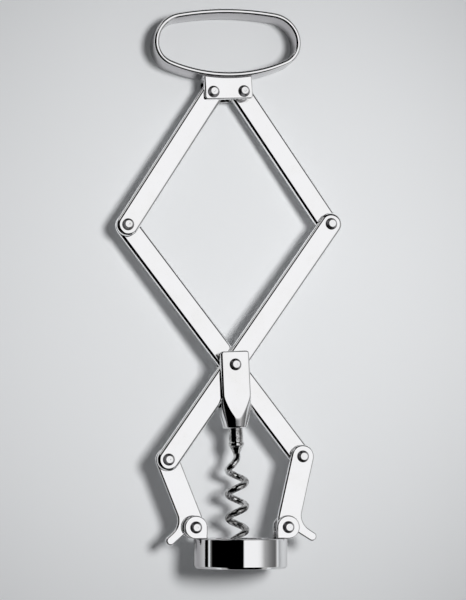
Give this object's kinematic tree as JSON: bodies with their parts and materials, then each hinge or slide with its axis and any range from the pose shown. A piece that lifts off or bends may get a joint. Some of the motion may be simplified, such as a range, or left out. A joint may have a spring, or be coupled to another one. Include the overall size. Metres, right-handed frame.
{
  "type": "lever corkscrew",
  "caption": "Compound lever corkscrew: neck ring with pivoting claws, crossed bars, upper links, loop handle and a worm on a slotted spindle.",
  "frame": {"origin": "centre of the neck ring's open mouth, on the axis of the ring", "axes": "+Y along the tool from the ring to the handle, +Z out of the front face as the tool lies on its back, +X to the right seen from the front"},
  "size_m": [0.0888, 0.2164, 0.036],
  "materials": {
    "bar_chrome": "bright chrome plate on flat steel strip",
    "claw_chrome": "bright chrome plate on pressed steel",
    "ring_chrome": "mirror chrome plate on a turned ring",
    "lug_chrome": "bright chrome plate on brazed lugs",
    "loop_chrome": "mirror chrome plate on a bent band",
    "rivet_steel": "bright turned rivet heads and spacers",
    "block_chrome": "bright chrome plate on a machined block",
    "worm_steel": "plated steel wire with fine drawing marks"
  },
  "bodies": {
    "neck_ring": {"neck_ring": "ring_chrome", "ear_left": "lug_chrome", "ear_right": "lug_chrome", "ear_rivets": "rivet_steel", "ear_spacers": "rivet_steel"},
    "claw_right": {"claw_right": "claw_chrome"},
    "cross_bar_back": {"cross_bar_back": "bar_chrome", "lower_rivet_right": "rivet_steel", "outer_rivet_left": "rivet_steel"},
    "cross_bar_front": {"cross_bar_front": "bar_chrome", "lower_rivet_left": "rivet_steel", "outer_rivet_right": "rivet_steel"},
    "spindle": {"spindle_block": "block_chrome", "centre_rivet": "rivet_steel", "ferrule": "worm_steel", "worm": "worm_steel"},
    "claw_left": {"claw_left": "claw_chrome"},
    "upper_link_left": {"upper_link_left": "bar_chrome"},
    "upper_link_right": {"upper_link_right": "bar_chrome"},
    "handle": {"bracket": "lug_chrome", "bracket_rivets": "rivet_steel", "bracket_spacers": "rivet_steel", "handle_loop": "loop_chrome"}
  },
  "joints": [
    {"name": "fold", "type": "hinge", "parent": "neck_ring", "child": "claw_right", "pos_m": [0.018, 0.0156, 0], "axis": [0, 0, -1], "range_deg": [0, 51]},
    {"name": "lower_right_pivot", "type": "hinge", "parent": "claw_right", "child": "cross_bar_back", "pos_m": [0.02416, 0.04271, 0], "axis": [0, 0, -1], "range_deg": [-88.2, 0]},
    {"name": "centre_pivot", "type": "hinge", "parent": "cross_bar_back", "child": "cross_bar_front", "pos_m": [-0.00303, 0.07781, 0], "axis": [0, 0, -1], "range_deg": [0, 76]},
    {"name": "spindle_pivot", "type": "hinge", "parent": "cross_bar_back", "child": "spindle", "pos_m": [-0.00303, 0.07781, 0], "axis": [0, 0, -1], "range_deg": [0, 39.8]},
    {"name": "lower_left_pivot", "type": "hinge", "parent": "cross_bar_front", "child": "claw_left", "pos_m": [-0.02841, 0.04138, 0], "axis": [0, 0, -1], "range_deg": [-81.9, 0]},
    {"name": "outer_left_pivot", "type": "hinge", "parent": "cross_bar_back", "child": "upper_link_left", "pos_m": [-0.04444, 0.13124, 0], "axis": [0, 0, -1], "range_deg": [0, 77.5]},
    {"name": "outer_right_pivot", "type": "hinge", "parent": "cross_bar_front", "child": "upper_link_right", "pos_m": [0.03561, 0.13328, 0], "axis": [0, 0, -1], "range_deg": [-78, 0]},
    {"name": "bracket_left_pivot", "type": "hinge", "parent": "upper_link_left", "child": "handle", "pos_m": [-0.01147, 0.18352, 0], "axis": [0, 0, -1], "range_deg": [-38.9, 0]}
  ],
  "couplings": [
    {"joint": "lower_right_pivot", "follows": "fold", "ratio": -1.7188},
    {"joint": "centre_pivot", "follows": "fold", "ratio": 1.4803},
    {"joint": "spindle_pivot", "follows": "fold", "ratio": 0.7698},
    {"joint": "lower_left_pivot", "follows": "fold", "ratio": -1.5955},
    {"joint": "outer_left_pivot", "follows": "fold", "ratio": 1.5102},
    {"joint": "outer_right_pivot", "follows": "fold", "ratio": -1.5189},
    {"joint": "bracket_left_pivot", "follows": "fold", "ratio": -0.75201}
  ]
}
